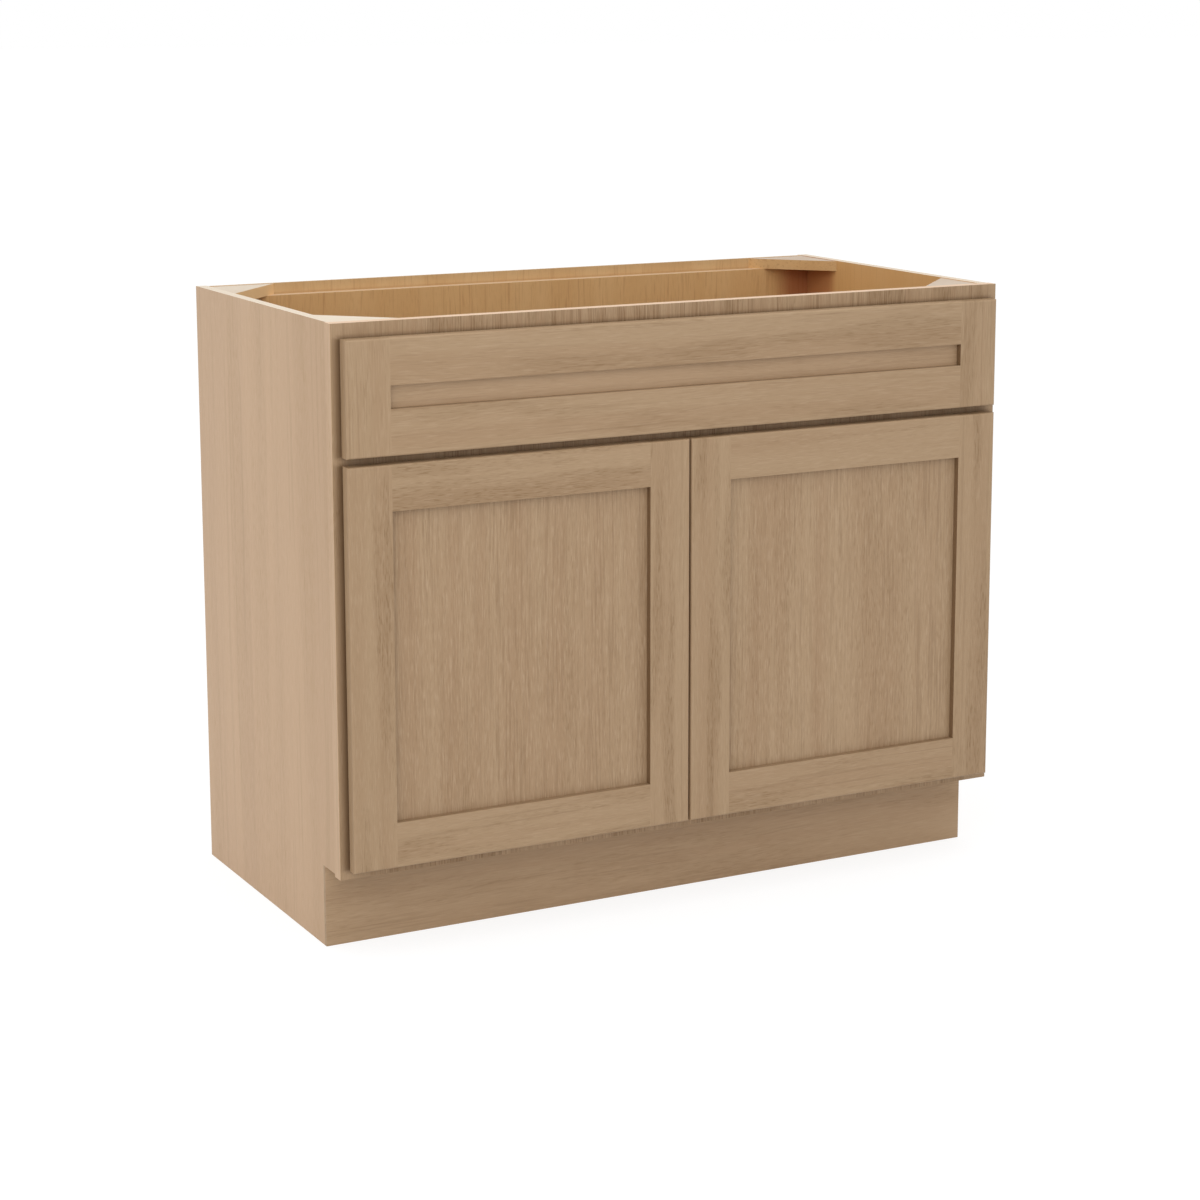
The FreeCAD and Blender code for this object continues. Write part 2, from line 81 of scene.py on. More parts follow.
# %% A socket that can be reckoned with
class Socket:
    """One output of a shader node. An operator on it adds a Math node to the same tree."""

    def __init__(self, wiring, output):
        self.wiring = wiring
        self.output = output

    def math(self, operation, *values):
        """The result of one Math node."""
        return self.wiring.node("ShaderNodeMath", {"operation": operation}, values)

    def __add__(self, other):
        return self.math("ADD", self, other)

    def __sub__(self, other):
        return self.math("SUBTRACT", self, other)

    def __rsub__(self, other):
        return self.math("SUBTRACT", other, self)

    def __mul__(self, other):
        return self.math("MULTIPLY", self, other)

    def __abs__(self):
        return self.math("ABSOLUTE", self)

    def least(self, other):
        """The smaller of two values."""
        return self.math("MINIMUM", self, other)

    def most(self, other):
        """The larger of two values."""
        return self.math("MAXIMUM", self, other)

    def over(self, low, high):
        """0 below low, 1 above high and a smooth step between them.

        With t for the share of the way from low to high, the step is t * t * (3 - 2 * t).
        """
        return self.wiring.node(
            "ShaderNodeMapRange",
            {"interpolation_type": "SMOOTHSTEP"},
            {"Value": self, "From Min": low, "From Max": high},
        )

    __radd__ = __add__
    __rmul__ = __mul__


print("operators ready:", [name for name in vars(Socket) if name.startswith("__r")])

# %% A tree that takes any node
class Wiring:
    """The node tree of a material or of the world."""

    def __init__(self, tree):
        self.tree = tree

    def node(self, kind, settings=None, inputs=(), output=0):
        """Adds a node: its settings come first, then a number or a link for each named socket."""
        made = self.tree.nodes.new(kind)
        for name, value in (settings or {}).items():
            setattr(made, name, value)
        pairs = inputs.items() if isinstance(inputs, dict) else enumerate(inputs)
        for key, value in pairs:
            self.feed(made.inputs[key], value)
        return Socket(self, made.outputs[output])

    def feed(self, socket, value):
        """Links a socket's source, or sets its number."""
        if isinstance(value, Socket):
            self.tree.links.new(value.output, socket)
        else:
            socket.default_value = value

    def seen(self):
        """1 for what the camera sees directly, in a reflection or through clear plastic, else 0."""
        rays = ("Is Camera Ray", "Is Glossy Ray", "Is Transmission Ray")
        camera, glossy, clear = [self.node("ShaderNodeLightPath", output=ray) for ray in rays]
        return camera.most(glossy).most(clear)


print("a tree's methods:", [name for name in vars(Wiring) if not name.startswith("_")])

# %% How a surface shines
class Gloss(typing.NamedTuple):
    """The roughness of a surface and its relief."""

    rough: float
    uneven: float  # how much a pattern adds to the roughness
    depth: float = 0.0  # of the relief, in metres
    strength: float = 0.0  # of the relief, from 0 to 1


print("a gloss has", Gloss._fields)

# %% A finish around a Principled shader
# A Mix node has sockets for several kinds of value. These are the numbers of those that mix colours
MIX_SHARE = 0
MIX_FIRST = 6
MIX_SECOND = 7
MIX_RESULT = 2


class Finish(Wiring):
    """One material, made node by node around its Principled shader.

    place is the point on the piece, in metres, and facing the direction that its surface looks in.
    """

    def __init__(self, name, constants):
        self.material = bpy.data.materials.new(name)
        self.material.use_nodes = True
        super().__init__(self.material.node_tree)
        self.shader = self.tree.nodes["Principled BSDF"]
        for socket, value in constants.items():
            self.shader.inputs[socket].default_value = value
        self.place = self.node("ShaderNodeTexCoord", output="Object")
        self.facing = self.node("ShaderNodeTexCoord", output="Normal")

    def part(self, vector, axis):
        """The X, Y or Z of a vector."""
        return self.node("ShaderNodeSeparateXYZ", inputs=[vector], output=axis)

    def vectors(self, operation, first, second):
        """The result of one Vector Math node."""
        return self.node("ShaderNodeVectorMath", {"operation": operation}, [first, second])

    def blend(self, first, second, share):
        """A colour that goes from the first to the second as the share goes from 0 to 1."""
        inputs = {MIX_SHARE: share, MIX_FIRST: first, MIX_SECOND: second}
        return self.node("ShaderNodeMix", {"data_type": "RGBA"}, inputs, output=MIX_RESULT)

    def noise(self, place, scale, shift, detail=2.0, output="Fac"):
        """Smooth noise with its own scale along each axis, in changes per metre."""
        spot = self.node(
            "ShaderNodeMapping", inputs={"Vector": place, "Location": shift, "Scale": scale}
        )
        inputs = {"Vector": spot, "Scale": 1.0, "Detail": detail}
        return self.node("ShaderNodeTexNoise", inputs=inputs, output=output)

    def wear(self, colour, gloss, dull, height=None):
        """Feeds the shader and gives the material.

        dull is the pattern that adds to the roughness and height the one that gives the relief, both
        from 0 to 1.
        """
        sources = {"Base Color": colour, "Roughness": gloss.rough + dull * gloss.uneven}
        if height is not None:
            bump = {"Strength": gloss.strength, "Distance": gloss.depth, "Height": height}
            sources["Normal"] = self.node("ShaderNodeBump", inputs=bump, output="Normal")
        for name, source in sources.items():
            self.feed(self.shader.inputs[name], source)
        return self.material


print("finish helpers:", [name for name in vars(Finish) if not name.startswith("_")])

# %% [markdown]
# ## Grain
#
# Stained wood shows several things at once: wide bands where the stain took differently, darker patches,
# pale fibres, short dark pores, and a few long thin lines. All of them run along the board. Each is the
# same smooth noise, stretched along the grain by its own amount. An image of wood would be quicker, but
# it would smear on the edges, while noise in three dimensions runs through the board as real grain does.
#
# Every board gets its own shift of the pattern, so that no two neighbours look cut from the same plank.

# %% Noise that is stretched along the grain
SHIFT_REACH = 50


def stretched(grain, across, along):
    """Changes per metre along X, Y and Z for a grain that runs along one of them."""
    return tuple(along if axis == grain else across for axis in "XYZ")


def board_shift(number):
    """A pattern shift of its own for each board."""
    return np.random.default_rng(number).uniform(-SHIFT_REACH, SHIFT_REACH, 3)


print("shift of board 1:", board_shift(1).round(2))

# %% How lively each kind of board is
class Figure(typing.NamedTuple):
    """How one kind of board looks. Pairs are changes per metre across and along the grain."""

    sway: float = 0.02  # metres that the grain wanders sideways
    bands: tuple = (24, 0.8)
    swing: float = 0.7  # how far the bands go from yellow to pink
    patch: tuple = (26, 3.2)
    fibre: tuple = (720, 48)
    pore: tuple = (720, 66)
    line: tuple = (260, 2.2)
    rare: float = 0.56  # how rare the long lines are, 0.5 being common
    even: float = 0.2  # how evenly pores and lines are spread, 1 being everywhere
    pale: float = 0.3  # how much the fibres show, from 0 to 1
    stain: float = 0.3  # how much the patches show
    pores: float = 0.7  # how much the pores show
    lines: float = 0.3  # how much the long lines show


FIGURES = {
    "lively": Figure(
        sway=0.012, patch=(24, 1.2), line=(330, 8.0), swing=1.0, rare=0.5, even=0.5,
        pale=0.42, stain=0.1, pores=0.46, lines=0.27,
    ),
    "calm": Figure(patch=(34, 2.2), pale=0.26, pores=0.62, lines=0.2),
    "smooth": Figure(
        bands=(40, 1.0), fibre=(640, 34), pore=(640, 46), line=(260, 4.0), even=0.35,
        pale=0.26, stain=0.24, pores=0.42, lines=0.25,
    ),
    "combed": Figure(
        bands=(150, 4.0), patch=(22, 4.5), line=(480, 9.0), pore=(1100, 60), swing=1.0, rare=0.48,
        even=0.3, pores=0.8, lines=0.5,
    ),
    "quiet": Figure(
        bands=(9, 0.5), patch=(14, 0.7), line=(150, 1.4), swing=0.9, rare=0.55, even=0.4,
        pale=0.28, stain=0.2, pores=0.34, lines=0.22,
    ),
    "maple": Figure(
        bands=(20, 1.5), line=(300, 12.0), swing=0.6, rare=0.56, even=0.6, pores=0.2, lines=0.36
    ),
}
print("figures:", list(FIGURES))

# %% How each layer is cut out of the noise
class Layer(typing.NamedTuple):
    """A layer shows where its noise passes a value."""

    shift: int  # added to the board's own shift, so that the layers differ
    detail: float  # how many finer noises are laid over the first
    start: float  # the noise value at which it starts to show
    full: float  # the noise value at which it shows in full


LAYERS = {
    "bands": Layer(3, 3.0, 0.36, 0.66),
    "fibres": Layer(7, 2.0, 0.48, 0.7),
    "patches": Layer(9, 3.0, 0.48, 0.66),
    "pores": Layer(11, 1.0, 0.5, 0.7),
    "lines": Layer(13, 2.0, 0.0, 0.12),
    "sheaves": Layer(15, 1.0, 0.42, 0.6),
}
print("layers:", list(LAYERS))

# %% The layers of a grain
SWAY_SCALE = (5, 2.0)
SHEAF_SCALE = (20, 1.0)
NOISE_MIDDLE = (0.5, 0.5, 0.5)


def swayed_place(finish, grain, reach, shift):
    """The place on the board, moved by slow noise times the reach, but never along the grain."""
    sway = finish.noise(finish.place, stretched(grain, *SWAY_SCALE), shift, output="Color")
    sway = finish.vectors("SUBTRACT", sway, NOISE_MIDDLE)
    sway = finish.vectors("MULTIPLY", sway, stretched(grain, reach, 0.0))
    return finish.vectors("ADD", finish.place, sway)


def grain_layers(finish, grain, number, figure):
    """Shares between 0 and 1: bands, patches, pale fibres, dark pores and long lines.

    The pores come mostly in patches and the lines in sheaves, so some stretches of a board are calm
    and others are busy. The noise values of the lines are counted from the figure's rare.
    """
    look = FIGURES[figure]
    shift = board_shift(number)
    place = swayed_place(finish, grain, look.sway, shift)

    def layer(name, scale, rare=0.0):
        own = LAYERS[name]
        noise = finish.noise(place, stretched(grain, *scale), shift + own.shift, own.detail)
        return noise.over(own.start + rare, own.full + rare)

    patches = layer("patches", look.patch)
    sheaves = layer("sheaves", SHEAF_SCALE)
    return {
        "bands": layer("bands", look.bands),
        "patches": patches,
        "fibres": layer("fibres", look.fibre),
        "pores": layer("pores", look.pore) * (look.even + (1 - look.even) * patches),
        "lines": layer("lines", look.line, look.rare) * (look.even + (1 - look.even) * sheaves),
    }


print("the long lines lie in sheaves of", SHEAF_SCALE[0], "changes per metre")

# %% [markdown]
# ## Stained hardwood and veneer
#
# The fronts, the face frame and the outer sides share one stain: a light brown that turns yellowish in
# some bands and pinkish in others. It could be one flat colour under a bump, but real stain is never
# even. End grain drinks more of it, so a face that looks along the grain is darker. So each layer of
# the grain blends in a tone of its own, and masks made from the place and the facing add the rest:
# painted shade in the corners of the panels, on the faces inside the framed openings and on the frame
# along the doors and the drawer front, and painted light on the frame's bare upper faces. The finish is
# a thin satin lacquer, so the gloss is low and the pores stay slightly open.

# %% Stain tones
STAIN = {
    "yellow": tone(173, 145, 113),
    "pink": tone(165, 135, 103),
    "pale": tone(193, 166, 137),
    "dark": tone(134, 105, 71),
    "line": tone(114, 84, 50),
}
# The side's veneer took less stain
SKIN = {
    "yellow": tone(204, 171, 137),
    "pink": tone(199, 166, 133),
    "pale": tone(220, 190, 157),
    "dark": tone(178, 145, 109),
    "line": tone(160, 127, 90),
}
# The face frame's upper faces are bare wood, made paler still by painted light from above. The dark
# tone is painted shade for corners, reveals and the frame along the fronts' edges
BARE_LIT_TOP = tone(226, 193, 160)
PAINTED_SHADE = tone(94, 66, 36)
print("stain tones:", list(STAIN))

# %% Which way a surface looks
LEAN_SPAN = (0.6, 0.75)


def lean(finish, axis, sign=None):
    """1 where the surface faces along an axis, either way or only towards the given sign."""
    along = finish.part(finish.facing, axis)
    return (abs(along) if sign is None else along * sign).over(*LEAN_SPAN)


print("a surface faces along an axis from a share of", LEAN_SPAN[0])

# %% Painted shade along a panel's border
BORDER_SHADE_WIDTH = 0.0014
BORDER_SHADE_SHARE = 0.3


def inside_distances(finish, low, high):
    """How far a point lies inside a rectangle: its least distance to two sides in X, and in Z."""
    x = finish.part(finish.place, "X")
    z = finish.part(finish.place, "Z")
    return (x - low[0]).least(high[0] - x), (z - low[1]).least(high[1] - z)


def border_shade(finish, low, high):
    """Painted shade along the border of a panel."""
    across, up = inside_distances(finish, low, high)
    return (1 - across.least(up).over(0.0, BORDER_SHADE_WIDTH)) * BORDER_SHADE_SHARE


print("a panel's border is dark for", BORDER_SHADE_WIDTH, "m")

# %% The painted shade that a leaf leaves on the frame
# A leaf is a door or the drawer front. The line starts at the first distance outside a leaf's edge
# and is full at the second inside it
LANDING_WIDTH = 0.007
LANDING_TUCK = 0.001
LANDING_SHARE = 0.55
# Behind the leaf it fades out between these distances from the edge
LANDING_FADE = (0.004, 0.012)
# To the left and right lies a broader band of painted shadow, which starts this far outside the edge
BAND_WIDTH = 2 * LANDING_WIDTH
# At the leaf's top and bottom the band fades in between these distances inside it
BAND_ENDS = (-0.004, 0.002)
BAND_SHARE = 0.8


def leaf_shade(finish, leaves, beside):
    """Painted shade: a darker line on the face frame along each leaf's edge.

    beside says whether a broader band of painted shadow lies to the left and right of the leaves.
    """
    lines = []
    bands = []
    for low, high in leaves:
        across, up = inside_distances(finish, low, high)
        inside = across.least(up)
        behind = 1 - inside.over(*LANDING_FADE)
        lines.append(inside.over(-LANDING_WIDTH, LANDING_TUCK) * behind)
        if beside:
            bands.append(across.over(-BAND_WIDTH, LANDING_TUCK) * up.over(*BAND_ENDS) * behind)
    shade = sum(lines).least(1.0) * LANDING_SHARE
    if beside:
        shade = shade.most(sum(bands).least(1.0) * BAND_SHARE)
    return shade


print("a leaf's line starts", LANDING_WIDTH, "m outside its edge, and a band", BAND_WIDTH, "m")

# %% A stained board
END_GRAIN_SHARE = 0.3
# Painted shade on the faces that look into a framed opening, on the stiles and on the rails
REVEAL_SHADE_SHARES = {"X": 0.7, "Z": 0.3}
FIBRE_RISE = 0.3
PORE_SINK = 0.7
SATIN = Gloss(rough=0.5, uneven=0.15, depth=0.00012, strength=0.6)


def stained_colour(finish, layers, tones, figure):
    """The stain's colour from the layers of a grain."""
    look = FIGURES[figure]
    colour = finish.blend(tones["yellow"], tones["pink"], layers["bands"] * look.swing)
    colour = finish.blend(colour, tones["dark"], layers["patches"] * look.stain)
    colour = finish.blend(colour, tones["pale"], layers["fibres"] * look.pale)
    colour = finish.blend(colour, tones["dark"], layers["pores"] * look.pores)
    return finish.blend(colour, tones["line"], layers["lines"] * look.lines)


def stained_wood(
    name, grain, number, figure, inward=None, skinned=None, opening=None, leaves=None, lift=0.0
):
    """A stained board with satin lacquer.

    figure says how lively its grain is, inward is the axis and sign of the face that looks into a
    framed opening, which gets painted shade, skinned those of a face that has the side's veneer,
    opening the low and high corner of the visible part of a panel, along whose border shade is painted,
    leaves such corners of the fronts that lie on the frame, along whose edges shade is painted on the
    frame while its upper faces get painted light, and lift how much paler the board is, which on the toe
    board's skin is painted light.
    """
    finish = Finish(name, {"Specular IOR Level": 0.4})
    layers = grain_layers(finish, grain, number, figure)
    colour = stained_colour(finish, layers, STAIN, figure)
    colour = finish.blend(colour, STAIN["dark"], lean(finish, grain) * END_GRAIN_SHARE)
    # A paler tone; on the toe board's skin it is painted light
    if lift:
        colour = finish.blend(colour, SKIN["yellow"], lift)
    # Painted shade on the faces that look into a framed opening
    if inward:
        colour = finish.blend(colour, PAINTED_SHADE, lean(finish, *inward) * REVEAL_SHADE_SHARES[inward[0]])
    if skinned:
        veneer = stained_colour(finish, layers, SKIN, "quiet")
        colour = finish.blend(colour, veneer, lean(finish, *skinned))
    # Painted shade along the border of the panel's visible part
    if opening:
        colour = finish.blend(colour, PAINTED_SHADE, border_shade(finish, *opening))
    # Painted shade on the frame along the doors' and the drawer front's edges
    if leaves:
        colour = finish.blend(colour, PAINTED_SHADE, leaf_shade(finish, leaves, beside=bool(skinned)))
        # Painted light: the frame's bare upper faces are made paler, as if lit from above
        colour = finish.blend(colour, BARE_LIT_TOP, lean(finish, "Z", 1))
    height = layers["fibres"] * FIBRE_RISE - layers["pores"] * PORE_SINK + PORE_SINK
    return finish.wear(colour, SATIN, layers["pores"], height)


print("relief of the stained boards:", SATIN.depth, "m")

# %% [markdown]
# ## Raw and clear-coated wood
#
# Inside, the cabinet is pale maple plywood under clear lacquer, and its cut edges are bare. Plywood
# edges show their layers as light and dark stripes. Each layer could be a board of its own, but a sine
# of the depth in the board gives the same stripes, and the same board can then be stained on one face,
# clear on the other and bare on its edges.

# %% Maple tones
MAPLE = {
    "light": tone(215, 175, 122),
    "gold": tone(206, 162, 107),
    "dark": tone(164, 112, 64),
}
BARE = {
    "light": tone(232, 219, 199),
    "gold": tone(227, 211, 188),
    "dark": tone(205, 182, 152),
}
# The back is the colour of straw, and the inner faces of the sides have a golden glow
STRAW = {
    "light": tone(209, 175, 128),
    "gold": tone(201, 163, 114),
    "dark": tone(163, 119, 76),
}
GLOW = {
    "light": tone(217, 171, 112),
    "gold": tone(208, 158, 97),
    "dark": tone(168, 112, 60),
}
# A rust-brown for painted shade under the rear corner blocks
CORNER_SHADE_TONE = tone(166, 84, 46)
# A tan that the blocks' tops take with age and that also paints shade on them
TAN_AND_SHADE = tone(172, 142, 118)
# A paler tone that paints light on a block's edges
EDGE_LIGHT = tone(238, 199, 146)
print("maple tones:", list(MAPLE), "bare tones:", list(BARE))

# %% Clear maple
LEAST_GOLD = 0.2


def maple_colour(finish, grain, number, tones=MAPLE, strength=1.0):
    """Clear maple: soft bands, a few short dark streaks and fine pores."""
    look = FIGURES["maple"]
    layers = grain_layers(finish, grain, number, "maple")
    bands = LEAST_GOLD + layers["bands"] * (look.swing * strength)
    colour = finish.blend(tones["light"], tones["gold"], bands)
    colour = finish.blend(colour, tones["dark"], layers["lines"] * (look.lines * strength))
    colour = finish.blend(colour, tones["dark"], layers["pores"] * (look.pores * strength))
    return colour, layers


print("clear maple is golden by a share of at least", LEAST_GOLD)

# %% The bare edge of plywood
PLIES = 9
STRIPE_SPAN = (-0.3, 0.3)
STRIPE_SHARE = 0.5
SPECK_SCALE = (600, 600, 600)
SPECK_SPAN = (0.5, 0.7)
SPECK_SHARE = 0.18


def ply_edge_colour(finish, axis, low, high, plies, number, age):
    """Bare plywood edge, golden with age: stripes across the thickness, every second layer darker.

    The thickness runs from low to high along the axis. A stripe shows where the sine of pi times the
    count of layers passed is above zero.
    """
    passed = (finish.part(finish.place, axis) - low) * (plies / (high - low))
    stripes = passed.math("SINE", passed * math.pi).over(*STRIPE_SPAN)
    specks = finish.noise(finish.place, SPECK_SCALE, board_shift(number)).over(*SPECK_SPAN)
    colour = finish.blend(BARE["light"], BARE["gold"], stripes * STRIPE_SHARE)
    colour = finish.blend(colour, BARE["dark"], specks * SPECK_SHARE)
    return finish.blend(colour, MAPLE["gold"], age)


print("plies in a board:", PLIES)

# %% [markdown]
# ## Which board gets which finish
#
# The real box is cut from sheets of plywood, with the grain along the length of most boards. One sheet
# of a side panel is stained outside, clear inside and bare on top, so it needs all three finishes at
# once. We could split its faces over three materials, but the model's meshes have to stay as they are,
# so one material picks the finish from the way that a face looks.
#
# The finishes of most boards differ only in a few values, so a function makes each kind. The number that
# it takes picks the pattern, and it uses the next number for a second face.

# %% A side panel
# Painted shade darkens the veneer towards the front, from this far behind the middle
FRONT_SHADE_FROM = 0.1
FRONT_SHADE_SHARE = 0.3
# How strongly the grain of the inner face shows
INSIDE_STRENGTH = 0.4
# The painted shade in the rear corner, a rust-brown, starts ahead of the rear block's front edge and is
# full behind it
CORNER_SHADE_AHEAD = 0.005
CORNER_SHADE_BEHIND = 0.027
# It starts at the first distance below the block and is full at the second
CORNER_SHADE_DEEP = 0.1396
CORNER_SHADE_NEAR = 0.0596
CORNER_SHADE_SHARE = 0.55
VENEER_SATIN = Gloss(rough=0.5, uneven=0.1, depth=0.0001, strength=0.5)


def corner_shade_share(finish):
    """How much painted shade, a rust-brown, lies on the inner face under the rear corner block."""
    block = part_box("corner_block_rear_right")[0]
    along = finish.part(finish.place, "Y").over(block.y - CORNER_SHADE_AHEAD, block.y + CORNER_SHADE_BEHIND)
    up = finish.part(finish.place, "Z").over(block.z - CORNER_SHADE_DEEP, block.z - CORNER_SHADE_NEAR)
    return along * up * CORNER_SHADE_SHARE


def side_finish(name, number, sign, age):
    """Plywood that is stained outside, clear inside and bare on its edges.

    sign says which way along X its outer face looks.
    """
    low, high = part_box(name)
    finish = Finish(name + "_veneer", {"Specular IOR Level": 0.4})
    layers = grain_layers(finish, "Z", number, "quiet")
    stained = stained_colour(finish, layers, SKIN, "quiet")
    # Painted shade towards the front of the side
    ahead = 0 - finish.part(finish.place, "Y")
    stained = finish.blend(stained, SKIN["dark"], ahead.over(-FRONT_SHADE_FROM, high.y) * FRONT_SHADE_SHARE)
    inside, _ = maple_colour(finish, "Z", number + 1, GLOW, INSIDE_STRENGTH)
    # Painted shade, a rust-brown, under the rear corner blocks
    inside = finish.blend(inside, CORNER_SHADE_TONE, corner_shade_share(finish))
    edge = ply_edge_colour(finish, "X", low.x, high.x, PLIES, number, age)
    colour = finish.blend(edge, stained, lean(finish, "X", sign))
    colour = finish.blend(colour, inside, lean(finish, "X", -sign))
    return finish.wear(colour, VENEER_SATIN, layers["pores"], layers["fibres"])


print("the rust-brown corner starts", CORNER_SHADE_DEEP, "m below the block")

# %% A corner block
# The line of glue starts at the first distance from a wall and is darkest at the second
GLUE_FAR = 0.0018
GLUE_NEAR = 0.0004
GLUE_SHARE = 0.5
RAW_GLOSS = Gloss(rough=0.55, uneven=0.08, depth=0.00008, strength=0.5)


def block_finish(name, number, age, edge_light):
    """A plywood block with a bare, pale upper face, tanned with age and darkened as painted shade, and
    golden edges.

    edge_light is how much of a paler tone the edges take, as painted light. A dark line of glue runs
    along the two walls that the block is fixed to.
    """
    low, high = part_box(name)
    finish = Finish(name + "_ply", {"Specular IOR Level": 0.35})
    pale, layers = maple_colour(finish, "X", number, BARE)
    # The tan stands for age and also paints shade
    pale = finish.blend(pale, TAN_AND_SHADE, age)
    for axis in "xy":
        wall = max(abs(getattr(low, axis)), abs(getattr(high, axis)))
        outward = abs(finish.part(finish.place, axis.upper()))
        glue = outward.over(wall - GLUE_FAR, wall - GLUE_NEAR) * GLUE_SHARE
        pale = finish.blend(pale, MAPLE["dark"], glue)
    gold, _ = maple_colour(finish, "X", number + 1)
    # Painted light makes the edges paler
    gold = finish.blend(gold, EDGE_LIGHT, edge_light)
    colour = finish.blend(gold, pale, lean(finish, "Z"))
    return finish.wear(colour, RAW_GLOSS, layers["bands"], layers["fibres"])


print("a line of glue is", GLUE_FAR, "m wide")

# %% A thin board
END_SHADE_SHARE = 0.68
# The line of painted shade at a joint is darkest up to the first distance and gone at the second
JOINT_SHADE_SPAN = (0.001, 0.004)
JOINT_SHADE_SHARE = 0.35
CLEAR_GLOSS = Gloss(rough=0.52, uneven=0.08, depth=0.00008, strength=0.5)


def thin_board(
    name, grain, number, axis, plies=PLIES, tones=MAPLE, outer=None, age=0.0, ends=None, joint=None
):
    """A sheet whose wide faces are clear maple and whose thin edges are bare plies, golden with age.

    outer is the sign of a wide face that is left bare, ends the places along X between which painted
    shade, a rust-brown, grows towards both ends, and joint the height of another board's edge against
    it, where a dark line of painted shade shows.
    """
    low, high = [getattr(corner, axis.lower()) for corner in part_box(name)]
    finish = Finish(name + "_ply", {"Specular IOR Level": 0.35})
    face, layers = maple_colour(finish, grain, number, tones)
    edge = ply_edge_colour(finish, axis, low, high, plies, number, age)
    # Painted shade, a rust-brown, towards both ends, under the rear corner blocks
    if ends:
        sideways = abs(finish.part(finish.place, "X"))
        face = finish.blend(face, CORNER_SHADE_TONE, sideways.over(*ends) * END_SHADE_SHARE)
    # Painted shade along the joint with the hanging rail's edge
    if joint:
        away = abs(finish.part(finish.place, "Z") - joint)
        face = finish.blend(face, tones["dark"], (1 - away.over(*JOINT_SHADE_SPAN)) * JOINT_SHADE_SHARE)
    colour = finish.blend(edge, face, lean(finish, axis))
    if outer:
        back, _ = maple_colour(finish, grain, number + 1, BARE)
        colour = finish.blend(colour, back, lean(finish, axis, outer))
    return finish.wear(colour, CLEAR_GLOSS, layers["bands"], layers["fibres"])


print("relief of the clear boards:", CLEAR_GLOSS.depth, "m")

# %% Put the wood on the door and drawer fronts
dressed = {}


def dress(name, material):
    """Gives a packed piece its finish in place of the plain one."""
    for slot in nodes[name].material_slots:
        slot.material = material
    dressed[name] = material.name


class Front(typing.NamedTuple):
    """A door or drawer front: the names of its pieces, and its wood."""

    start: str  # of the pieces' names
    left: str
    right: str
    number: int  # picks the pattern of its first board
    panel_grain: str
    figures: tuple  # of the stiles, of the rails and of the panel
    lift: float  # how much paler the panel is


def framed_front(front):
    """Finishes the two stiles, the two rails and the panel, and measures the panel's visible part."""
    names = [front.start + end for end in (front.left, front.right, "bottom_rail", "top_rail")]
    facing = (("X", 1), ("X", -1), ("Z", 1), ("Z", -1))
    for offset, (name, grain, inward) in enumerate(zip(names, "ZZXX", facing)):
        figure = front.figures["ZX".index(grain)]
        number = front.number + offset
        dress(name, stained_wood(name + "_stain", grain, number, figure, inward=inward))
    left, right, bottom, top = [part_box(name) for name in names]
    opening = (left[1].x, bottom[1].z), (right[0].x, top[0].z)
    name = front.start + "panel"
    number = front.number + len(names)
    look = {"opening": opening, "lift": front.lift}
    dress(name, stained_wood(name + "_stain", front.panel_grain, number, front.figures[2], **look))
    return [round(high - low, 4) for low, high in zip(*opening)]


DOOR_FIGURES = ("calm", "calm", "lively")
DRAWER_FIGURES = ("smooth", "smooth", "smooth")
fronts = (
    Front("drawer_front_", "left_stile", "right_stile", 10, "X", DRAWER_FIGURES, 0.3),
    Front("left_door_", "hinge_stile", "latch_stile", 20, "Z", DOOR_FIGURES, 0.05),
    Front("right_door_", "latch_stile", "hinge_stile", 30, "Z", DOOR_FIGURES, 0.05),
)
for front in fronts:
    print(front.start, "shows a panel of", framed_front(front), "m")

# %% The face frame and the toe board's skin
# How much paler the toe board's skin is: painted light in the shade under the cabinet
TOE_PAINTED_LIGHT = 0.22
# The numbers of the first rail's and the first stile's pattern
FIRST_RAIL = 40
FIRST_STILE = 45


def leaf_outline(front):
    """The low and high corner, in X and Z, of a whole door or drawer front."""
    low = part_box(front.start + front.left)[0]
    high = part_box(front.start + front.right)[1]
    return (low.x, low.z), (high.x, high.z)


leaves = [leaf_outline(front) for front in fronts]
for number, end in enumerate(("top_rail", "middle_rail", "bottom_rail"), start=FIRST_RAIL):
    name = "frame_" + end
    dress(name, stained_wood(name + "_stain", "Z", number, "combed", leaves=leaves))
for number, (side, sign) in enumerate((("left", -1), ("right", 1)), start=FIRST_STILE):
    name = "frame_stile_" + side
    look = {"skinned": ("X", sign), "leaves": leaves}
    dress(name, stained_wood(name + "_stain", "Z", number, "calm", **look))
dress("toe_kick_skin", stained_wood("toe_kick_skin_stain", "X", 48, "smooth", lift=TOE_PAINTED_LIGHT))
print("stained boards:", len(dressed))

# %% The box's boards
BACK_PLIES = 3
# How golden the edges of the hanging rail have turned
RAIL_AGE = 0.62
# Painted shade, a rust-brown, grows on the hanging rail between these distances from its ends
RAIL_SHADE_REACH = 0.07
RAIL_SHADE_FULL = 0.025

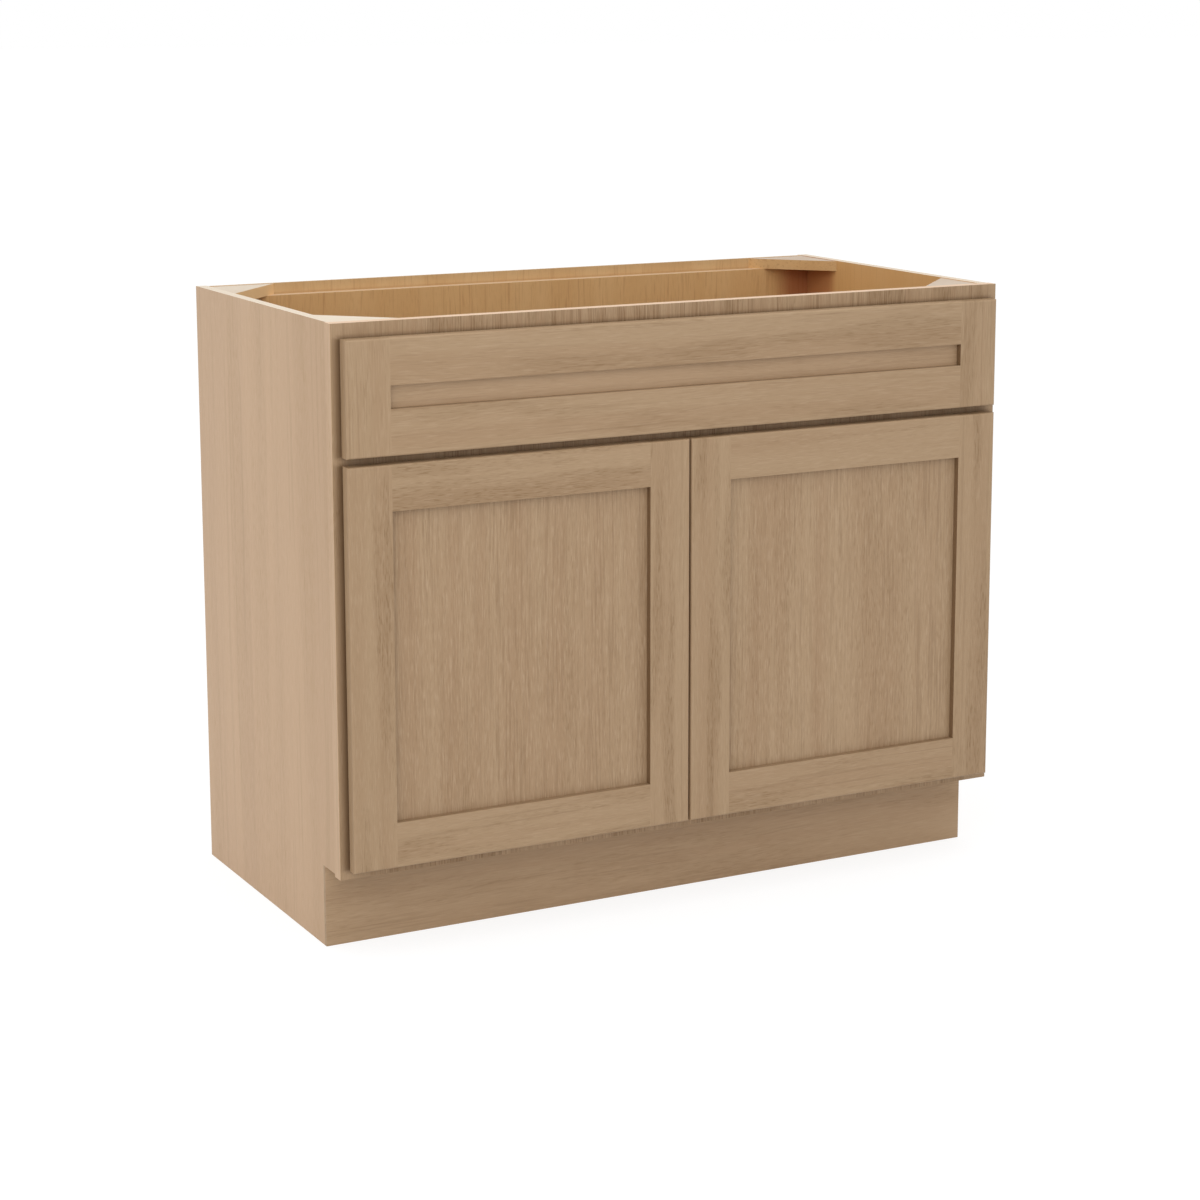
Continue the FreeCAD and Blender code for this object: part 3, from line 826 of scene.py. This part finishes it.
# The right side's top edge is more golden than the left's, partly as painted shade
for name, number, sign, age in (("side_panel_left", 70, -1, 0.1), ("side_panel_right", 72, 1, 0.2)):
    dress(name, side_finish(name, number, sign, age))
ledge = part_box("hanging_rail")[1]
rail_shade_ends = (ledge.x - RAIL_SHADE_REACH, ledge.x - RAIL_SHADE_FULL)
back_look = {"plies": BACK_PLIES, "tones": STRAW, "outer": 1, "joint": ledge.z}
dress("back_panel", thin_board("back_panel", "Z", 74, "Y", **back_look))
dress("cabinet_floor", thin_board("cabinet_floor", "X", 76, "Z"))
dress("hanging_rail", thin_board("hanging_rail", "Z", 79, "Y", age=RAIL_AGE, ends=rail_shade_ends))
dress("lower_back_rail", thin_board("lower_back_rail", "X", 80, "Y"))
dress("toe_kick_board", thin_board("toe_kick_board", "X", 82, "Y"))
print("boards dressed so far:", len(dressed))

# %% The corner blocks
# The number of the first block's pattern, and how many numbers each block takes
FIRST_BLOCK = 84
BLOCK_NUMBERS = 2

# How tanned each block's top is, which also paints shade, most on the right-hand blocks, and how pale
# its edges are, which paints light on the rear left block's edges
blocks = {
    "front_left": (0.0, 0.0),
    "front_right": (0.5, 0.0),
    "rear_left": (0.22, 0.95),
    "rear_right": (0.55, 0.0),
}
for order, (corner, look) in enumerate(blocks.items()):
    name = "corner_block_" + corner
    dress(name, block_finish(name, FIRST_BLOCK + BLOCK_NUMBERS * order, *look))
print("blocks dressed:", len(blocks))

# %% [markdown]
# ## Hinges, screws and bumpers
#
# The hinges are pressed steel with a nickel skin, and the bumpers are clear soft plastic. One grey of
# one roughness would do from afar, but on an open door it would look painted. Nickel has a soft,
# slightly uneven polish, so noise changes its roughness more than its colour. The plastic lets half of
# the light through, so that it takes on the tone of the wood behind it.

# %% Nickel
MARK_SCALE = (900, 900, 120)
CLOUD_SCALE = (60, 60, 60)
CLOUD_SPAN = (0.35, 0.65)
POLISH = Gloss(rough=0.22, uneven=0.16, depth=0.00003, strength=0.4)


def nickel(name, number):
    """Nickel-plated steel with fine rolling marks along Z."""
    finish = Finish(name, {"Metallic": 1.0, "Specular IOR Level": 0.5})
    marks = finish.noise(finish.place, MARK_SCALE, board_shift(number))
    cloud = finish.noise(finish.place, CLOUD_SCALE, board_shift(number + 1)).over(*CLOUD_SPAN)
    colour = finish.blend(tone(196, 192, 184), tone(176, 171, 162), cloud)
    return finish.wear(colour, POLISH, marks, marks)


plated = nickel("nickel_plate", 90)
print("made", plated.name)

# %% Clear plastic
HAZE_SCALE = (500, 500, 500)
SOFT_GLOSS = Gloss(rough=0.2, uneven=0.2)


def clear_plastic(name, number):
    """Soft clear plastic with a faint haze."""
    finish = Finish(name, {"IOR": 1.45, "Transmission Weight": 0.5})
    haze = finish.noise(finish.place, HAZE_SCALE, board_shift(number), 1.0)
    colour = finish.blend(tone(226, 226, 222), tone(206, 206, 200), haze)
    return finish.wear(colour, SOFT_GLOSS, haze)


plastic = clear_plastic("bumper_plastic", 95)
for name in sorted(nodes):
    if "hinge_" in name and "stile" not in name or name.endswith(("screws", "brackets")):
        dress(name, plated)
    elif name.endswith("bumpers"):
        dress(name, plastic)
print("pieces left plain:", sorted(set(nodes) - set(dressed)))

# %% [markdown]
# ## Domed bumpers
#
# A stick-on bumper is a low clear dome that keeps a door from knocking on the frame. The model has plain
# cones there. A flattened sphere would come close, but a profile turned about an axis gives exactly the
# height of the gap, and each pole is one vertex, so the shape is closed.

# %% A profile turned about an axis
SHARP_ANGLE = math.radians(50)


def turned(name, profile, centres, material, sides=32):
    """Closed shapes in one mesh, turned about an axis along Y through each centre.

    profile has pairs of distance from the axis and place along it. A point at an angle stands at
    distance * cos(angle) in X and distance * sin(angle) in Z. The profile's first and last point lie on
    the axis and become the poles. It rises along +Y, so that the faces point outwards.
    """
    reach, rise = np.array(profile).T
    angle = np.linspace(0, 2 * math.pi, sides, endpoint=False)
    around = np.stack([np.cos(angle), np.zeros(sides), np.sin(angle)], axis=-1)
    rings = reach[1:-1, None, None] * around + rise[1:-1, None, None] * np.array([0.0, 1.0, 0.0])
    poles = [(0.0, rise[0], 0.0), (0.0, rise[-1], 0.0)]
    points = np.concatenate([rings.reshape(-1, 3), poles])
    index = np.arange(rings.shape[0] * sides).reshape(-1, sides)
    beside = np.roll(index, -1, axis=1)
    walls = np.stack([index[:-1], index[1:], beside[1:], beside[:-1]], axis=-1).reshape(-1, 4)
    first = np.stack([np.full(sides, len(points) - 2), index[0], beside[0]], axis=-1)
    last = np.stack([np.full(sides, len(points) - 1), beside[-1], index[-1]], axis=-1)
    start = np.arange(len(centres))[:, None, None] * len(points)
    faces = [(part + start).reshape(-1, part.shape[1]).tolist() for part in (walls, first, last)]
    places = (points + np.array(centres)[:, None]).reshape(-1, 3)
    mesh = bpy.data.meshes.new(name)
    mesh.from_pydata(places.tolist(), [], sum(faces, []))
    mesh.polygons.foreach_set("use_smooth", np.full(len(mesh.polygons), True))
    mesh.set_sharp_from_angle(angle=SHARP_ANGLE)
    return placed(name, mesh, material)


def placed(name, mesh, material):
    """An object at the origin that shows a mesh in one material."""
    mesh.materials.append(material)
    made = bpy.data.objects.new(name, mesh)
    bpy.context.scene.collection.objects.link(made)
    return made


print("edges sharper than", round(SHARP_ANGLE, 3), "radians stay sharp")

# %% Domes in place of the cones
BUMPER_RADIUS = 0.00475
PROFILE_POINTS = 12
# Places that agree to this many digits are one place
PLACE_DIGITS = 5


def domes(node, body):
    """A turned quarter of an ellipse for each bumper of a node.

    Its distance is radius * cos(t) and its rise height * sin(t), with t from 0 to 90 degrees.
    """
    low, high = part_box(node)
    t = np.linspace(0, math.pi / 2, PROFILE_POINTS)
    quarter = np.stack([BUMPER_RADIUS * np.cos(t), (high.y - low.y) * np.sin(t)], axis=1)
    places_x = np.unique(np.round([low.x + BUMPER_RADIUS, high.x - BUMPER_RADIUS], PLACE_DIGITS))
    places_z = np.unique(np.round([low.z + BUMPER_RADIUS, high.z - BUMPER_RADIUS], PLACE_DIGITS))
    centres = [(x, low.y, z) for x in places_x for z in places_z]
    piece = turned(node.replace("bumpers", "domes"), [(0.0, 0.0), *quarter], centres, plastic)
    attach(piece, body)
    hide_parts(node)
    return len(centres)


bodies = {"left_door": "left_door", "right_door": "right_door", "drawer_front": "cabinet"}
for part, body in bodies.items():
    print(part, "has", domes(part + "_bumpers", body), "domes")

# %% [markdown]
# ## Floor and light
#
# The cabinet stands in a white studio. Brighter lamps would turn the floor white, but they would also
# wash out the wood. So the lamps stay at a plain level, and the floor and the world are white only to
# the camera and to what looks through or mirrors them. The floor keeps a soft share of the shadow.

# %% A pale floor
# The share of real shading that the camera sees, and the strength of the plain white in the rest
FLOOR_SHADOW = 0.3
FLOOR_WHITE = 1.17
FLOOR_CLOUDS = (0.8, 0.8, 0.8)


def floor_finish():
    """Pale to the lamps; to the camera mostly plain white, with a share of the real shading."""
    finish = Finish("studio_floor", {"Roughness": 0.9, "Specular IOR Level": 0.0})
    cloud = finish.noise(finish.place, FLOOR_CLOUDS, board_shift(99))
    pale = finish.blend(tone(240, 240, 240), tone(236, 236, 236), cloud)
    finish.feed(finish.shader.inputs["Base Color"], pale)
    lit = Socket(finish, finish.shader.outputs[0])
    white = finish.node("ShaderNodeEmission", inputs={"Strength": FLOOR_WHITE})
    inputs = [finish.seen() * (1 - FLOOR_SHADOW), lit, white]
    mixed = finish.node("ShaderNodeMixShader", inputs=inputs)
    finish.feed(finish.tree.nodes["Material Output"].inputs["Surface"], mixed)
    return finish.material


pale_floor = floor_finish()
print("made", pale_floor.name)

# %% Lay the floor
FLOOR_REACH = 60.0


def grid_surface(name, points, material):
    """A mesh from a grid of points: its faces join each point to its neighbours along both axes."""
    rows, columns = points.shape[:2]
    index = np.arange(rows * columns).reshape(rows, columns)
    corners = [index[:-1, :-1], index[:-1, 1:], index[1:, 1:], index[1:, :-1]]
    faces = np.stack([corner.ravel() for corner in corners], axis=1)
    mesh = bpy.data.meshes.new(name)
    mesh.from_pydata(points.reshape(-1, 3).tolist(), [], faces.tolist())
    return placed(name, mesh, material)


ends = np.array([-FLOOR_REACH, FLOOR_REACH])
across, along = np.meshgrid(ends, ends)
floor = grid_surface("floor", np.stack([across, along, np.zeros_like(across)], axis=-1), pale_floor)
print("floor reaches", FLOOR_REACH, "m each way")

# %% Light from everywhere
WORLD_LEVEL = 0.8

world = bpy.data.worlds.new("studio")
world.use_nodes = True
bpy.context.scene.world = world
sky = Wiring(world.node_tree)
background = sky.tree.nodes["Background"]
background.inputs["Color"].default_value = (1.0, 1.0, 1.0, 1.0)
sky.feed(background.inputs["Strength"], WORLD_LEVEL + (1 - WORLD_LEVEL) * sky.seen())
print("world level for diffuse light:", WORLD_LEVEL)

# %% Two soft lamps
LAMP_TARGET = (0.0, 0.0, 0.4)


def soft_lamp(name, place, size, power):
    """A square lamp that looks at the cabinet, with its size in metres and its power in watts."""
    data = bpy.data.lights.new(name, "AREA")
    data.size = size
    data.energy = power
    lamp = bpy.data.objects.new(name, data)
    lamp.location = place
    lamp.rotation_mode = "QUATERNION"
    lamp.rotation_quaternion = (Vector(LAMP_TARGET) - Vector(place)).to_track_quat("-Z", "Y")
    bpy.context.scene.collection.objects.link(lamp)


soft_lamp("lamp_front_left", (-1.7, -2.5, 2.1), size=2.0, power=19.0)
soft_lamp("lamp_above", (-0.4, -0.8, 3.6), size=2.4, power=20.0)

# %% [markdown]
# ## Camera
#
# The camera stands to the left of the cabinet and a little above it. It could be placed by eye, but we
# found its place by matching the corners of the cabinet with those in the picture, in pixels. Tilting a
# camera down makes upright edges lean, and a small shift of the lens replaces a part of that tilt, as in
# a catalogue picture.

# %% The camera
# The picture's width and height in pixels, and the sensor's width in millimetres
PICTURE = 1200
SENSOR = 36.0
# The focal length in pixels, and the pixel that the lens looks straight at
FOCAL_PIXELS = 2742.9
CENTRE_X = 635.2
CENTRE_Y = 480.5
CAMERA_PLACE = (-1.8741, -3.5990, 1.3041)
# Radians that the camera is turned to the right and tilted down
HEADING = 0.493
PITCH = 0.176

camera_data = bpy.data.cameras.new("camera")
camera_data.sensor_width = SENSOR
camera_data.lens = FOCAL_PIXELS * SENSOR / PICTURE
camera_data.shift_x = (PICTURE / 2 - CENTRE_X) / PICTURE
camera_data.shift_y = (CENTRE_Y - PICTURE / 2) / PICTURE
camera = bpy.data.objects.new("camera", camera_data)
bpy.context.scene.collection.objects.link(camera)
camera.location = CAMERA_PLACE
level_part = math.cos(PITCH)
look = Vector((math.sin(HEADING) * level_part, math.cos(HEADING) * level_part, -math.sin(PITCH)))
camera.rotation_mode = "QUATERNION"
camera.rotation_quaternion = look.to_track_quat("-Z", "Y")
bpy.context.scene.camera = camera
bpy.context.scene.view_settings.view_transform = "Standard"
shift = camera_data.shift_x, camera_data.shift_y
print("lens", round(camera_data.lens, 2), "mm, shift", [round(v, 3) for v in shift])

# %% [markdown]
# ## Size
#
# A finish adds no size, and the domes fill the gap that the cones filled, so the dressed cabinet has to
# be as large as the model.
